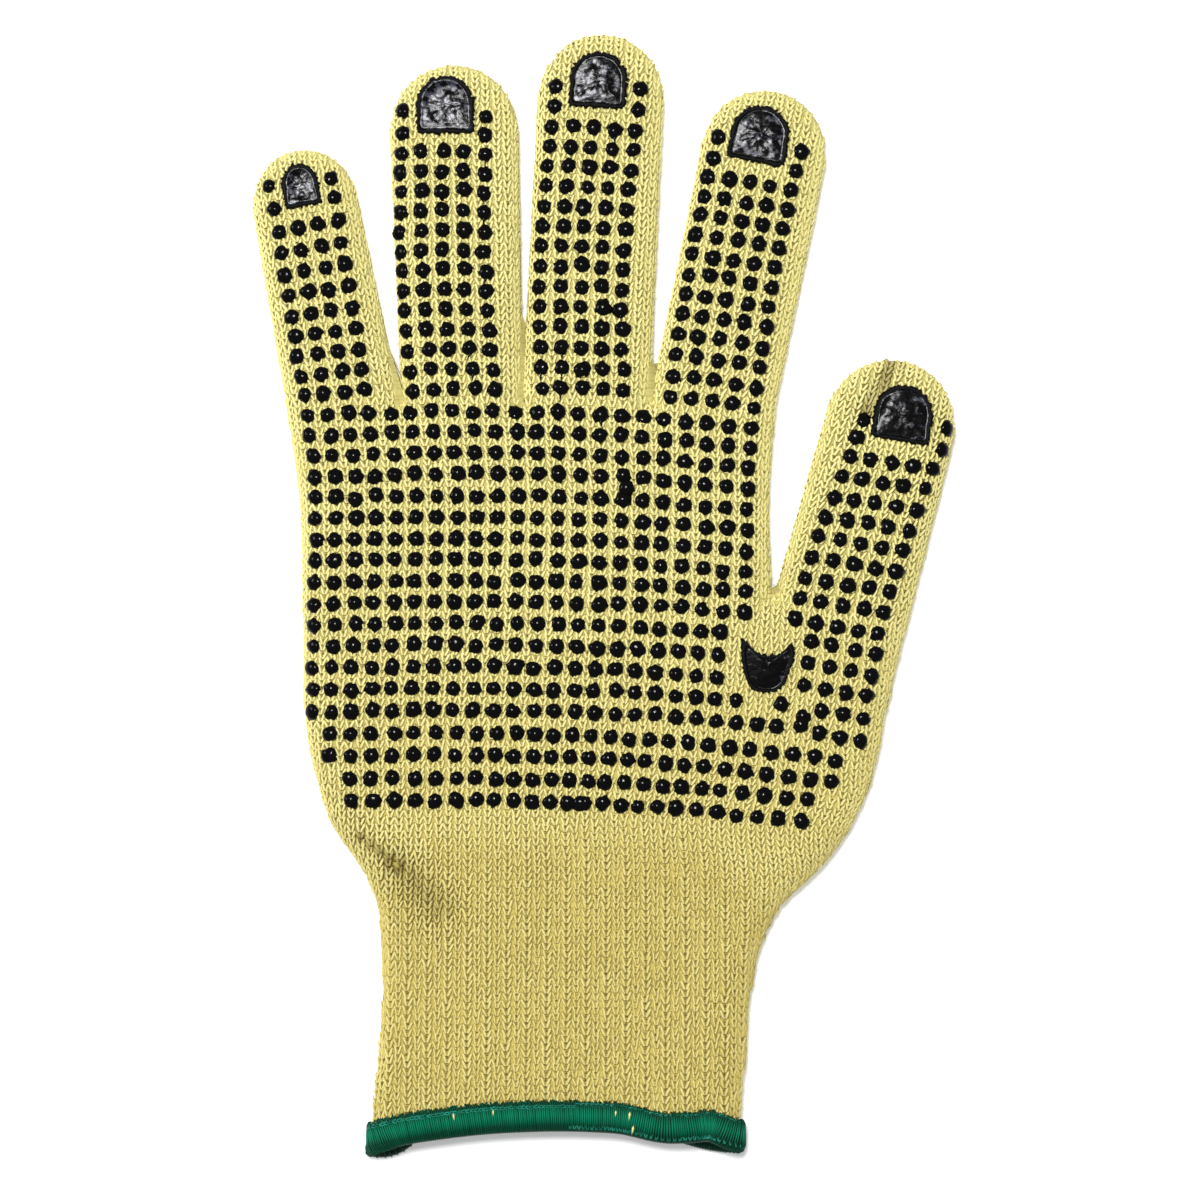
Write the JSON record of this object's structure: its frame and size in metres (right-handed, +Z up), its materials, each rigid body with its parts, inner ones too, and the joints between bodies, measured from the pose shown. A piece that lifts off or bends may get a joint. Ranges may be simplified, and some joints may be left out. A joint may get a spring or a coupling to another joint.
{
  "type": "cut-resistant carving glove",
  "caption": "Seamless knitted work glove lying flat palm up, with moulded fingertip pads, a thumb crotch patch and an overlocked wrist hem",
  "frame": {"origin": "centre of the footprint, on the surface the glove lies on", "axes": "+Z up from the surface, +Y towards the fingertips, +X towards the thumb"},
  "size_m": [0.1553, 0.2494, 0.0113],
  "materials": {
    "aramid_knit": "matte knitted aramid",
    "hem_thread": "overlocked thread",
    "grip_pvc": "glossy moulded PVC"
  },
  "bodies": {
    "root": {"knit_palm": "aramid_knit", "little_finger_stall": "aramid_knit", "ring_finger_stall": "aramid_knit", "middle_finger_stall": "aramid_knit", "index_finger_stall": "aramid_knit", "thumb_stall": "aramid_knit", "knit_cuff": "aramid_knit", "cuff_hem": "hem_thread", "little_finger_pad": "grip_pvc", "ring_finger_pad": "grip_pvc", "middle_finger_pad": "grip_pvc", "index_finger_pad": "grip_pvc", "thumb_pad": "grip_pvc", "thumb_crotch_patch": "grip_pvc"}
  },
  "joints": []
}
